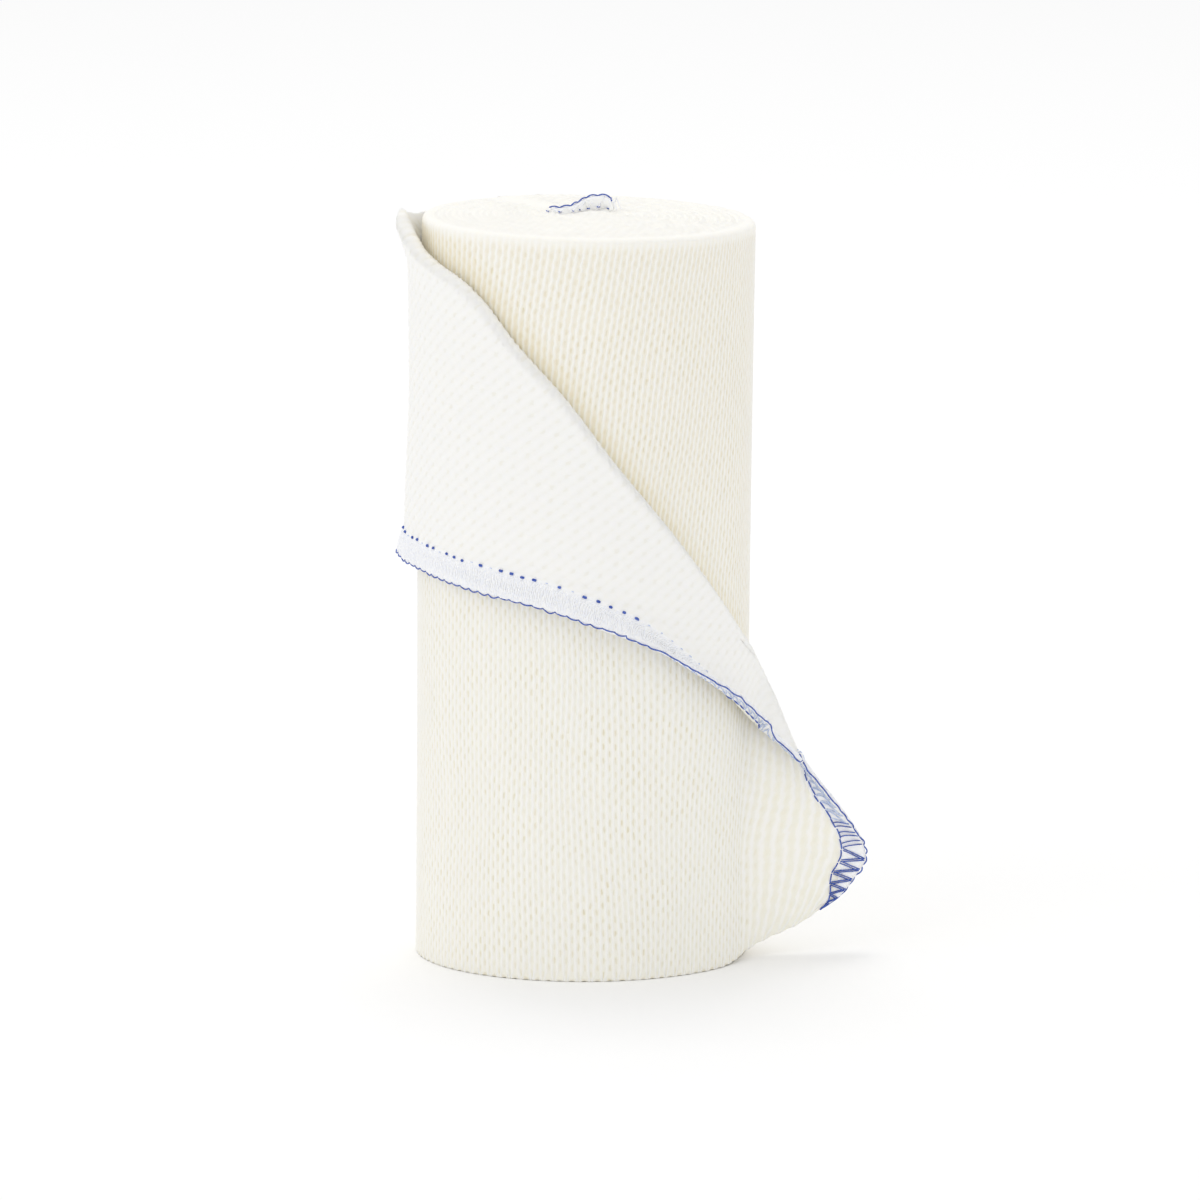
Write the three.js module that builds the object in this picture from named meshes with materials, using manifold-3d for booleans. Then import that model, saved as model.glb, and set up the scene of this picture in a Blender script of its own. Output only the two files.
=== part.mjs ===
// Elastic bandage roll: a 150 mm wide knitted strip, wound up and stood on its end.
// The last stretch of the strip lies loose round the left and the front of the roll, leaves it
// on the right, and has its upper corner folded down over itself, so that its reverse shows.
//
// Millimetres, +Z up. The roll's axis is the Z axis and the roll stands on z = 0.
// A bearing is an angle in degrees round that axis: 0 is +X, 90 is the back (+Y), 180 the left
// and 270 the front. The strip is wound towards growing bearings. Past LEAVE the loose end runs
// away from the roll, and its bearing goes on as length along the cloth.
import * as THREE from "three";
import * as BufferGeometryUtils from "three/addons/utils/BufferGeometryUtils.js";
import Module from "manifold-3d";

// The strip and the roll.
const CLOTH_WIDTH = 150;
const CLOTH_THICKNESS = 1;
const LAYER_GAP = 0.3;
const FULL_TURN = 360;
const RAD = Math.PI / 180;

// Where the loose end begins behind the roll, where its fold begins, and where it leaves the roll.
const LOOSE_START = 122;
const LOOSE_START_GAP = 0.6;
const FOLD_START = 181;
const LEAVE = 338;

// The roll's radius at its foot, waist and head. It grows by one layer in a turn, is drawn in a
// little at the waist, and its last row meets its first in the step where the loose end begins.
const ROLL_OUTLINE = [
  { bearing: 122, foot: 32.9, waist: 32.5, head: 32.7 },
  { bearing: 180, foot: 33.0, waist: 32.5, head: 32.6 },
  { bearing: 225, foot: 33.1, waist: 32.7, head: 33.1 },
  { bearing: 270, foot: 33.2, waist: 32.8, head: 33.7 },
  { bearing: 315, foot: 33.0, waist: 32.9, head: 34.0 },
  { bearing: 360, foot: 32.9, waist: 33.4, head: 34.5 },
  { bearing: 400, foot: 33.8, waist: 33.5, head: 34.4 },
  { bearing: 440, foot: 34.2, waist: 33.7, head: 34.3 },
  { bearing: 482, foot: 34.3, waist: 34.0, head: 34.2 },
];
const ROLL_LEVELS = 6;
const ROLL_STEP = 5;

// The head of the roll is a little higher on the left than on the right.
const HEAD_SLOPE = -0.75 / 34;

// The inner end of the strip stands a little proud of the top face, as a flat S.
const INNER_END_SINK = 2;
const INNER_END = [
  { x: -7.0, y: 5.5, rise: 0.9 },
  { x: -5.2, y: 4.2, rise: 1.0 },
  { x: -3.0, y: 5.0, rise: 1.2 },
  { x: -1.0, y: 7.5, rise: 1.8 },
  { x: 1.0, y: 9.5, rise: 2.5 },
  { x: 3.4, y: 10.0, rise: 2.7 },
  { x: 5.4, y: 8.2, rise: 2.4 },
  { x: 5.4, y: 6.0, rise: 1.8 },
];

// The crest of the fold, from the top selvedge down to the cut end.
const FOLD = [
  { bearing: 181, height: 151.3 },
  { bearing: 190, height: 150.1 },
  { bearing: 197, height: 147.9 },
  { bearing: 204, height: 145.6 },
  { bearing: 212, height: 143.8 },
  { bearing: 225, height: 141.0 },
  { bearing: 235, height: 136.9 },
  { bearing: 244, height: 131.0 },
  { bearing: 263, height: 118.9 },
  { bearing: 280, height: 105.2 },
  { bearing: 297, height: 92.6 },
  { bearing: 315, height: 79.4 },
  { bearing: 331, height: 69.0 },
  { bearing: 343, height: 63.0 },
  { bearing: 351.4, height: 56.2 },
  { bearing: 357, height: 48.7 },
  { bearing: 360.5, height: 42.8 },
];

// The cut end on the folded corner, from the corner to the fold, how far its hem curls
// outwards, and how far the corner's cloth stands off the layer below it.
const HEM = [
  { bearing: 179, height: 82.6, curl: 5, off: 3.9 },
  { bearing: 188, height: 81.4, curl: 5, off: 2.6 },
  { bearing: 203, height: 80.7, curl: 5, off: 1.6 },
  { bearing: 218, height: 79.3, curl: 10, off: 1.8 },
  { bearing: 239, height: 77.7, curl: 20, off: 2.2 },
  { bearing: 257, height: 75.9, curl: 35, off: 2.5 },
  { bearing: 276, height: 72.0, curl: 63, off: 2.6 },
  { bearing: 290, height: 68.5, curl: 85, off: 2.6 },
  { bearing: 306, height: 62.3, curl: 105, off: 2.6 },
  { bearing: 320, height: 57.0, curl: 118, off: 2.6 },
  { bearing: 335, height: 51.3, curl: 124, off: 2.6 },
  { bearing: 351, height: 46.8, curl: 118, off: 2.2 },
  { bearing: 360.5, height: 41.9, curl: 110, off: 1.4 },
];

// The rest of the cut end, from the lower corner (share 0) up to the fold (share 1).
const CUT_END = [
  { share: 0.0, bearing: 371.2, curl: 0 },
  { share: 0.07, bearing: 377.6, curl: 0 },
  { share: 0.18, bearing: 382.9, curl: 0 },
  { share: 0.31, bearing: 387.3, curl: 5 },
  { share: 0.4, bearing: 385.9, curl: 30 },
  { share: 0.5, bearing: 382.2, curl: 55 },
  { share: 0.6, bearing: 378.0, curl: 72 },
  { share: 0.8, bearing: 369.2, curl: 95 },
  { share: 1.0, bearing: 360.5, curl: 110 },
];

// The foot of the loose end lifts off the floor where it leaves the roll.
const FOOT_EDGE = [
  { bearing: 122, height: 0 },
  { bearing: 322, height: 0 },
  { bearing: 335, height: 0.7 },
  { bearing: 343, height: 1.8 },
  { bearing: 353, height: 3.8 },
  { bearing: 363, height: 6.0 },
  { bearing: 371.2, height: 8.8 },
];

// How far the top of the loose end flares off the roll.
const FLARE_DEPTH = 9;
const FLARE = [
  { bearing: 122, out: 0 },
  { bearing: 130, out: 0.5 },
  { bearing: 140, out: 1.5 },
  { bearing: 152, out: 2.4 },
  { bearing: 166, out: 3.0 },
  { bearing: 181, out: 3.2 },
  { bearing: 192, out: 2.7 },
  { bearing: 204, out: 1.4 },
  { bearing: 220, out: 0.3 },
  { bearing: 235, out: 0 },
  { bearing: 390, out: 0 },
];

// Radius of the fold's crest.
const CREST = [
  { bearing: 181, radius: 0.85 },
  { bearing: 205, radius: 1.0 },
  { bearing: 240, radius: 1.4 },
  { bearing: 300, radius: 1.6 },
  { bearing: 345, radius: 1.3 },
  { bearing: 360.5, radius: 0.7 },
];
const CREST_EASE = 9;
const CREST_COVER = 0.8 * CLOTH_THICKNESS;

// The top selvedge on the folded corner runs straight down the left side.
const SELVEDGE_OFF = [
  { down: 0.0, off: 1.35 },
  { down: 0.5, off: 1.4 },
  { down: 0.65, off: 1.8 },
  { down: 0.8, off: 2.3 },
  { down: 0.92, off: 2.6 },
  { down: 1.0, off: 3.9 },
];
const SELVEDGE_REACH = 22;

// The plan of the loose end past the roll: a bend away from the roll, then nearly straight.
const BEND_RADIUS = 9.5;
const BEND_TURN = 48;
const PATH_RADIUS = 34;

// The overlocked hem at the cut end, and how its curl draws the cloth behind it along.
const HEM_WIDTH = 5.8;
const CURL_EASE = 18;
const CORNER_LENGTH = 62;

// Mesh steps of the loose end: bare rows behind the fold, rows across the fold, hem rows,
// and the points of a row on the wall, round the crest and on the folded corner. The crowding
// powers draw those points towards the crest, where the cloth bends most.
const BARE_ROWS = 10;
const FOLD_ROWS = 29;
const HEM_ROWS = 5;
const FIRST_FOLD_ROW = 0.045;
const WALL_POINTS = 9;
const WALL_CROWDING = 1.3;
const CREST_POINTS = 5;
const CORNER_POINTS = 20;
const CORNER_CROWDING = 1.1;

// A smooth curve through one column of a table, read at a value of its key column.
function column(rows, key, name) {
  const slope = (a, b) => (rows[b][name] - rows[a][name]) / (rows[b][key] - rows[a][key]);
  const last = rows.length - 1;
  const tangents = rows.map((row, i) => {
    if (i === 0) return slope(0, 1);
    if (i === last) return slope(last - 1, last);
    const before = slope(i - 1, i);
    const after = slope(i, i + 1);
    return before * after <= 0 ? 0 : (2 * before * after) / (before + after);
  });
  return (at) => {
    let i = 0;
    while (i < last - 1 && at > rows[i + 1][key]) i += 1;
    const span = rows[i + 1][key] - rows[i][key];
    const t = Math.min(Math.max((at - rows[i][key]) / span, 0), 1);
    const rise = (1 - t) * (1 - t) * t * tangents[i] - (1 - t) * t * t * tangents[i + 1];
    const ease = t * t * (3 - 2 * t);
    return rows[i][name] * (1 - ease) + rows[i + 1][name] * ease + span * rise;
  };
}

const rollFoot = column(ROLL_OUTLINE, "bearing", "foot");
const rollWaist = column(ROLL_OUTLINE, "bearing", "waist");
const rollHead = column(ROLL_OUTLINE, "bearing", "head");
const foldHeight = column(FOLD, "bearing", "height");
const hemHeight = column(HEM, "bearing", "height");
const hemCurl = column(HEM, "bearing", "curl");
const hemOff = column(HEM, "bearing", "off");
const cutBearing = column(CUT_END, "share", "bearing");
const cutCurl = column(CUT_END, "share", "curl");
const footHeight = column(FOOT_EDGE, "bearing", "height");
const flareOut = column(FLARE, "bearing", "out");
const crestRadius = column(CREST, "bearing", "radius");
const selvedgeOff = column(SELVEDGE_OFF, "down", "off");

const FOLD_END = FOLD[FOLD.length - 1].bearing;
const CORNER = HEM[0];
const FOLD_HEAD = FOLD[0];

function lerp(a, b, t) {
  return a + (b - a) * t;
}

// How high the cloth's top selvedge lies at a bearing.
function headHeight(bearing) {
  return CLOTH_WIDTH + HEAD_SLOPE * rollHead(bearing) * Math.cos(bearing * RAD);
}

// The roll's radius at a bearing and height: a parabola through foot, waist and head.
function rollRadius(bearing, height) {
  const t = height / CLOTH_WIDTH;
  const foot = rollFoot(bearing);
  const waist = rollWaist(bearing);
  const head = rollHead(bearing);
  return foot * (1 - t) * (1 - 2 * t) + waist * 4 * t * (1 - t) + head * t * (2 * t - 1);
}

function solidFromRings(rings, foot, head) {
  const count = rings[0].length;
  const points = rings.flat().concat([foot, head]);
  const footIndex = points.length - 2;
  const headIndex = points.length - 1;
  const top = (rings.length - 1) * count;
  const faces = [];
  for (let i = 0; i < count; i += 1) {
    const next = (i + 1) % count;
    faces.push(footIndex, next, i);
    faces.push(headIndex, top + i, top + next);
    for (let level = 0; level < rings.length - 1; level += 1) {
      const a = level * count;
      const b = a + count;
      faces.push(a + i, a + next, b + next);
      faces.push(a + i, b + next, b + i);
    }
  }
  return bufferGeometry(points, faces);
}

function bufferGeometry(points, faces) {
  const geometry = new THREE.BufferGeometry();
  geometry.setAttribute("position", new THREE.Float32BufferAttribute(points.flat(), 3));
  geometry.setIndex(faces);
  return geometry;
}

// The wound body: rings of one spiral turn, stacked from the foot to the head.
function woundBody() {
  const rings = [];
  for (let level = 0; level <= ROLL_LEVELS; level += 1) {
    const ring = [];
    for (let bearing = LOOSE_START; bearing <= LOOSE_START + FULL_TURN; bearing += ROLL_STEP) {
      const z = (headHeight(bearing) * level) / ROLL_LEVELS;
      const radius = rollRadius(bearing, z);
      ring.push([radius * Math.cos(bearing * RAD), radius * Math.sin(bearing * RAD), z]);
    }
    rings.push(ring);
  }
  return solidFromRings(rings, [0, 0, 0], [0, 0, CLOTH_WIDTH]);
}

// The S of the inner end: a strip one cloth thick that follows its table.
function innerEnd() {
  const middle = INNER_END.map((row) => new THREE.Vector2(row.x, row.y));
  const sides = middle.map((point, i) => {
    const before = middle[Math.max(i - 1, 0)];
    const after = middle[Math.min(i + 1, middle.length - 1)];
    const along = after.clone().sub(before).normalize();
    return new THREE.Vector2(-along.y, along.x).multiplyScalar(CLOTH_THICKNESS / 2);
  });
  const points = [];
  const faces = [];
  INNER_END.forEach((row, i) => {
    const floor = CLOTH_WIDTH - INNER_END_SINK;
    const crown = CLOTH_WIDTH + row.rise;
    for (const [side, z] of [[-1, floor], [1, floor], [1, crown], [-1, crown]]) {
      points.push([middle[i].x + side * sides[i].x, middle[i].y + side * sides[i].y, z]);
    }
    if (i === 0) return;
    for (let k = 0; k < 4; k += 1) {
      const a = (i - 1) * 4 + k;
      const b = (i - 1) * 4 + ((k + 1) % 4);
      faces.push(a, b + 4, b, a, a + 4, b + 4);
    }
  });
  const end = (INNER_END.length - 1) * 4;
  faces.push(0, 1, 2, 0, 2, 3);
  faces.push(end, end + 2, end + 1, end, end + 3, end + 2);
  return bufferGeometry(points, faces);
}

const wasm = await Module();
wasm.setup();

function toManifold(geometry) {
  const merged = BufferGeometryUtils.mergeVertices(geometry);
  return new wasm.Manifold(new wasm.Mesh({
    numProp: 3,
    vertProperties: merged.attributes.position.array,
    triVerts: new Uint32Array(merged.index.array),
  }));
}

function joined(first, second) {
  const mesh = toManifold(first).add(toManifold(second)).getMesh();
  const geometry = new THREE.BufferGeometry();
  geometry.setAttribute("position", new THREE.BufferAttribute(mesh.vertProperties, 3));
  geometry.setIndex(new THREE.BufferAttribute(mesh.triVerts, 1));
  return geometry;
}

// A point of the loose end: bearing along the cloth, height, and distance out from the
// middle of its first layer.
function onPath(bearing, height, out) {
  const flareTop = bearing < FOLD_START ? CLOTH_WIDTH : foldHeight(Math.min(bearing, FOLD_END));
  const below = Math.min(Math.max((flareTop - height) / FLARE_DEPTH, 0), 1);
  const flare = flareOut(bearing) * (1 - below);
  const onRoll = Math.min(bearing, LEAVE);
  const layer = rollRadius(onRoll, height) + LAYER_GAP + CLOTH_THICKNESS / 2 + flare;
  const away = new THREE.Vector2(Math.cos(onRoll * RAD), Math.sin(onRoll * RAD));
  if (bearing <= LEAVE) {
    return [away.x * (layer + out), away.y * (layer + out), height];
  }
  const length = (bearing - LEAVE) * RAD * PATH_RADIUS;
  const bendLength = BEND_RADIUS * BEND_TURN * RAD;
  const turned = Math.min(length, bendLength) / BEND_RADIUS;
  const centre = away.clone().multiplyScalar(layer + BEND_RADIUS);
  const outward = away.clone().rotateAround(new THREE.Vector2(0, 0), -turned);
  const point = centre.addScaledVector(outward, -BEND_RADIUS);
  const straight = new THREE.Vector2(-outward.y, outward.x);
  point.addScaledVector(straight, length - Math.min(length, bendLength));
  point.addScaledVector(outward, out);
  return [point.x, point.y, height];
}

// The hem's curl: for a distance from the cut end along the cloth, the distance that is left
// along the surface, and how far the cloth stands out.
function curled(distance, degrees) {
  const turn = Math.max(degrees, 1) * RAD;
  const radius = HEM_WIDTH / turn;
  const reach = radius * Math.sin(turn);
  if (distance >= HEM_WIDTH) {
    const lost = HEM_WIDTH - reach;
    const eased = Math.min((distance - HEM_WIDTH) / CURL_EASE, 1);
    return { left: distance - lost * (1 - eased), out: 0 };
  }
  const along = ((HEM_WIDTH - distance) / HEM_WIDTH) * turn;
  return { left: reach - radius * Math.sin(along), out: radius * (1 - Math.cos(along)) };
}

// One row on the wall: share runs from the foot to the crest of the fold.
function wallPoint(row, share) {
  const curl = curled((1 - row) * CORNER_LENGTH, cutCurl(share));
  const place = 1 - curl.left / CORNER_LENGTH;
  const crest = lerp(FOLD_START, FOLD_END, place);
  const free = Math.max((crest - LEAVE) / (FOLD_END - LEAVE), 0);
  const bearing = crest + free * (cutBearing(share) - FOLD_END);
  const foot = footHeight(bearing);
  const head = foldHeight(crest) - crestRadius(crest) - CREST_COVER;
  return onPath(bearing, lerp(foot, head, share), curl.out);
}

// One row on the folded corner: share runs from the crest to the top selvedge.
function cornerPoint(row, share) {
  const hemBearing = lerp(FOLD_END, CORNER.bearing, share);
  const curl = curled((1 - row) * CORNER_LENGTH, hemCurl(hemBearing));
  const place = 1 - curl.left / CORNER_LENGTH;
  const crest = lerp(FOLD_START, FOLD_END, place);
  const radius = crestRadius(crest);
  const bearing = lerp(crest, lerp(FOLD_START, CORNER.bearing, place), share);
  const hemSag = hemHeight(hemBearing) - lerp(foldHeight(FOLD_END), CORNER.height, share);
  const head = foldHeight(crest) - radius - CREST_COVER;
  const selvedge = lerp(FOLD_HEAD.height - radius - CREST_COVER, CORNER.height, place);
  const height = lerp(head, selvedge, share) + hemSag * place * place;
  const fromCrest = (crest - bearing) * RAD * PATH_RADIUS;
  const fromSelvedge = (bearing - CORNER.bearing) * RAD * PATH_RADIUS;
  const nearSelvedge = Math.max(1 - fromSelvedge / SELVEDGE_REACH, 0) ** 2;
  const settled = lerp(hemOff(bearing), selvedgeOff(place), nearSelvedge);
  const off = settled + (2 * radius - settled) * Math.exp(-fromCrest / CREST_EASE);
  return onPath(bearing, height, off + curl.out);
}

// Round the crest, between the end of the wall and the start of the folded corner.
function crestPoint(row, share) {
  const from = new THREE.Vector3(...wallPoint(row, 1));
  const to = new THREE.Vector3(...cornerPoint(row, 0));
  const middle = from.clone().lerp(to, 0.5);
  const arm = from.clone().sub(middle);
  const turn = share * Math.PI;
  const lift = arm.length() * Math.sin(turn);
  return middle.addScaledVector(arm, Math.cos(turn)).add(new THREE.Vector3(0, 0, lift)).toArray();
}

// The wall's points of one row, at shares that crowd towards the top.
function wallRow(pointAt) {
  const row = [];
  for (let k = 0; k < WALL_POINTS; k += 1) {
    row.push(pointAt(1 - (1 - k / (WALL_POINTS - 1)) ** WALL_CROWDING));
  }
  return row;
}

// A row of bare wall behind the fold.
function bareRow(bearing) {
  return wallRow((share) => onPath(bearing, headHeight(bearing) * share, 0));
}

// A row up the wall, round the crest and on over the folded corner.
function foldedRow(place) {
  const row = wallRow((share) => wallPoint(place, share));
  for (let k = 1; k < CREST_POINTS; k += 1) {
    row.push(crestPoint(place, k / CREST_POINTS));
  }
  for (let k = 0; k < CORNER_POINTS; k += 1) {
    row.push(cornerPoint(place, (k / (CORNER_POINTS - 1)) ** CORNER_CROWDING));
  }
  return row;
}

// All rows of the loose end's middle surface, from its start behind the roll to the cut end.
function looseEndRows() {
  const rows = [];
  const start = LOOSE_START + LOOSE_START_GAP;
  for (let i = 0; i <= BARE_ROWS; i += 1) {
    rows.push(bareRow(lerp(start, FOLD_START, i / BARE_ROWS)));
  }
  const hemStart = 1 - HEM_WIDTH / CORNER_LENGTH;
  for (let i = 0; i < FOLD_ROWS; i += 1) {
    rows.push(foldedRow(lerp(FIRST_FOLD_ROW, hemStart, i / (FOLD_ROWS - 1))));
  }
  for (let i = 1; i <= HEM_ROWS; i += 1) {
    rows.push(foldedRow(lerp(hemStart, 1, i / HEM_ROWS)));
  }
  return rows;
}

// Faces between rows. Where a long row follows a bare one, a fan closes on the bare row's end.
function sheetFaces(rows) {
  const faces = [];
  let start = 0;
  for (let i = 0; i < rows.length - 1; i += 1) {
    const here = rows[i].length;
    const next = start + here;
    for (let k = 0; k < here - 1; k += 1) {
      const a = start + k;
      const b = next + k;
      faces.push([a, b, b + 1], [a, b + 1, a + 1]);
    }
    for (let k = here - 1; k < rows[i + 1].length - 1; k += 1) {
      faces.push([next - 1, next + k, next + k + 1]);
    }
    start = next;
  }
  return faces;
}

// A closed sheet: the middle surface moved half a thickness to each side, and its rim closed.
function thickSheet(rows) {
  const middle = rows.flat().map((point) => new THREE.Vector3(...point));
  const faces = sheetFaces(rows);
  const normals = middle.map(() => new THREE.Vector3());
  const edges = new Map();
  for (const [a, b, c] of faces) {
    const ab = middle[b].clone().sub(middle[a]);
    const ac = middle[c].clone().sub(middle[a]);
    const normal = ab.cross(ac);
    for (const corner of [a, b, c]) normals[corner].add(normal);
    for (const [from, to] of [[a, b], [b, c], [c, a]]) edges.set(`${from} ${to}`, [from, to]);
  }
  const half = CLOTH_THICKNESS / 2;
  const outer = middle.map((point, i) => point.clone().addScaledVector(normals[i].normalize(), half));
  const inner = middle.map((point, i) => point.clone().addScaledVector(normals[i], -half));
  const points = outer.concat(inner).map((point) => point.toArray());
  const shift = middle.length;
  const closed = [];
  for (const [a, b, c] of faces) closed.push(a, b, c, a + shift, c + shift, b + shift);
  for (const [from, to] of edges.values()) {
    if (edges.has(`${to} ${from}`)) continue;
    closed.push(from, from + shift, to + shift, from, to + shift, to);
  }
  return bufferGeometry(points, closed);
}

const knit = new THREE.MeshStandardMaterial({ color: 0xf3f0e2, roughness: 0.95, metalness: 0 });
const knitLoose = new THREE.MeshStandardMaterial({ color: 0xf7f6f0, roughness: 0.95, metalness: 0 });

const group = new THREE.Group();
group.name = "elastic_bandage_roll";

const roll = new THREE.Mesh(joined(woundBody(), innerEnd()), knit);
roll.name = "roll";
group.add(roll);

const looseEnd = new THREE.Mesh(thickSheet(looseEndRows()), knitLoose);
looseEnd.name = "loose_end";
group.add(looseEnd);

export default group;
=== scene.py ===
"""Elastic bandage roll: the looks of a wound knitted strip whose loose end is folded over its front.

The cloth is worked out in millimetres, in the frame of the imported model, and turned to metres where
a mesh takes it. The roll's axis is Z and it stands on z = 0. A bearing is an angle in degrees round
that axis: 0 is +X, 90 the back, 180 the left and 270 the front.
"""

import bisect
import math
import random

import bmesh
import bpy
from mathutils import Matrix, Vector, noise


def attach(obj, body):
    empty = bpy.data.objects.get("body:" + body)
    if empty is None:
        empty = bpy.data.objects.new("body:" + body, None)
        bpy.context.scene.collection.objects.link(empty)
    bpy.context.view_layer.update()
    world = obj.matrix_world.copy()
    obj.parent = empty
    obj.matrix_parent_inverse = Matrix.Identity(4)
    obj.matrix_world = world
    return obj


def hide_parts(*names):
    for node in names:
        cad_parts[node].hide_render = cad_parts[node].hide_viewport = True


bl_info = {
    "name": "Elastic bandage roll",
    "version": (1, 0, 0),
    "blender": (4, 5, 0),
    "location": "3D View > Sidebar > Bandage",
    "description": "Builds a knitted elastic bandage roll with its overlocked loose end",
    "category": "Object",
}

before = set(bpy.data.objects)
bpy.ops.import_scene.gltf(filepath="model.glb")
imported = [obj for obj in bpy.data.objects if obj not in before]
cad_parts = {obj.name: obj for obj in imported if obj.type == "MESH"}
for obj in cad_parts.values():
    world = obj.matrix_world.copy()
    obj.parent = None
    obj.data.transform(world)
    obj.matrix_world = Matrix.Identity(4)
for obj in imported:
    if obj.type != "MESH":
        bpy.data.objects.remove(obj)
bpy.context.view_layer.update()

MM = 0.001

# The strip and where it lies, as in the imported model.
CLOTH_WIDTH = 150.0
CLOTH_THICKNESS = 1.0
LAYER_GAP = 0.3
# The loose cloth comes out of the outermost turn, a little inside its end.
LOOSE_START = 122.0
LOOSE_START_GAP = -0.7
# The bare selvedge lies level with the roll's rounded rim, up to where the fold lifts it.
BARE_SINK = 1.6
FOLD_START = 181.0
LEAVE = 338.0
HEAD_SLOPE = -0.75 / 34
BEND_RADIUS = 9.5
BEND_TURN = math.radians(48)
PATH_RADIUS = 34.0
HEM_WIDTH = 5.8
CURL_EASE = 18.0
# Along the cut end the blue cover thread shows up to here.
COVERED_LENGTH = 24.0
# Past this bearing the hem's reverse is turned in.
HEM_TURNS_OVER = 288.0
# The selvedge crosses the overlock obliquely over this length at the lower corner.
NARROWED_LENGTH = 11.0
NARROWEST = 0.08
CORNER_LENGTH = 62.0
FLARE_DEPTH = 9.0
CREST_EASE = 9.0
CREST_COVER = 0.8
SELVEDGE_REACH = 22.0

# The knit: ribs across the strip, two of which share a selvedge loop, and stitches along a rib.
RIB_PITCH = 1.157
STITCH = 2.5
ROLL_RIBS = 182
BARE_RIBS = 30
FOLD_RIBS = 92
SHEET_RIBS = BARE_RIBS + FOLD_RIBS
RIB_WIGGLE = 0.05
RIB_CROWN = 0.05
RIB_FOOT = 0.36
HOLE_RIM = 0.31
HOLE_MIDDLE = 0.5
HOLE_OPENS = (-0.5, 0.7)
VALLEY_HEIGHT = 0.4
STITCHES = CLOTH_WIDTH / STITCH
# Two ribs close up into one loop at the foot selvedge, and the knit closes over the head's rim.
LOOP_CLOSING = 0.9
LOOP_STITCHES = 1.0
RIM_STITCHES = 0.5
KNIT_FADE_STITCHES = 1.3
# The reverse shows rows along the roll and stitches across it, both a little out of level.
REVERSE_ROWS = Vector((-0.1165, -0.737))
REVERSE_STITCHES = Vector((0.3815, -0.0335))
STROKES = (0.30, 0.10)
STEPS_PER_RIB = 2
ROLL_ROWS_PER_STITCH = 2
SHEET_ROWS_PER_STITCH = 3
# How far the roll's ribs lean to the right over its front, and from what height.
LEAN = math.tan(math.radians(8))
LEAN_FROM = 80.0

# The wound edge on the roll's two flat faces.
LAYER_PITCH = 1.4
LAYERS = 24
HEAD_ROWS_PER_LAYER = 3
FOOT_ROWS_PER_LAYER = 2
HEAD_RIM = 1.3
HEAD_RIM_ROWS = 4
HEAD_RIM_LAYERS = HEAD_RIM / LAYER_PITCH
CORE = Vector((-0.5, 7.0))
CORE_SQUASH = 0.45
# The wound edge is smoothed this far from the outermost turn's end, in degrees.
SEAM_EASE = 12


def curve(points):
    """A smooth curve through points that never overshoots them, held level past its ends."""
    steps = list(zip(points, points[1:]))
    slopes = [(b[1] - a[1]) / (b[0] - a[0]) for a, b in steps]
    inner = [0 if a * b <= 0 else 2 * a * b / (a + b) for a, b in zip(slopes, slopes[1:])]
    tangents = [slopes[0], *inner, slopes[-1]]
    ends = [point[0] for point in points[1:-1]]

    def value(at):
        i = bisect.bisect_left(ends, at)
        (x0, y0), (x1, y1) = steps[i]
        t = min(max((at - x0) / (x1 - x0), 0), 1)
        rise = (1 - t) ** 2 * t * tangents[i] - (1 - t) * t * t * tangents[i + 1]
        ease = t * t * (3 - 2 * t)
        return y0 * (1 - ease) + y1 * ease + (x1 - x0) * rise

    return value


def table(names, *rows):
    """The named columns of a table, each as a smooth curve over the first one."""
    columns = names.split()[1:]
    return {name: curve([(row[0], row[i + 1]) for row in rows]) for i, name in enumerate(columns)}


ROLL = table(
    "bearing foot waist head",
    (122, 32.9, 32.5, 32.7), (180, 33.0, 32.5, 32.6), (225, 33.1, 32.7, 33.1),
    (270, 33.2, 32.8, 33.7), (315, 33.0, 32.9, 34.0), (360, 32.9, 33.4, 34.5),
    (400, 33.8, 33.5, 34.4), (440, 34.2, 33.7, 34.3), (482, 34.3, 34.0, 34.2),
)
FOLD_END, FOLD_END_HEIGHT = 360.5, 42.8
FOLD_HEAD_HEIGHT = 151.3
FOLD = table(
    "bearing height",
    (FOLD_START, FOLD_HEAD_HEIGHT), (190, 150.1), (197, 147.9), (204, 145.6), (212, 143.8),
    (225, 141.0), (235, 136.9), (244, 131.0), (263, 118.9), (280, 105.2), (297, 92.6), (315, 79.4),
    (331, 69.0), (343, 63.0), (351.4, 56.2), (357, 48.7), (FOLD_END, FOLD_END_HEIGHT),
)
CORNER_BEARING, CORNER_HEIGHT = 179.0, 82.6
HEM = table(
    "bearing height curl off",
    (CORNER_BEARING, CORNER_HEIGHT, 5, 3.9), (188, 81.4, 5, 2.6), (203, 80.7, 5, 1.6),
    (218, 80.0, 10, 1.8), (239, 78.6, 20, 2.2), (257, 76.8, 35, 2.5), (276, 72.9, 63, 2.6),
    (290, 69.4, 85, 2.6), (306, 63.3, 105, 2.6), (320, 57.8, 118, 2.6), (335, 51.3, 124, 2.6),
    (351, 46.8, 118, 2.2), (FOLD_END, 41.9, 110, 1.4),
)
CUT_END = table(
    "share bearing curl",
    (0.0, 371.2, 0), (0.07, 377.6, 0), (0.18, 382.9, 0), (0.31, 387.3, 5), (0.4, 385.9, 30),
    (0.5, 382.2, 55), (0.6, 378.0, 72), (0.8, 369.2, 95), (1.0, FOLD_END, 110),
)
FOOT_EDGE = table(
    "bearing height",
    (122, 0), (322, 0), (335, 0.7), (343, 1.8), (353, 3.8), (363, 6.0), (371.2, 8.8),
)
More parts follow.
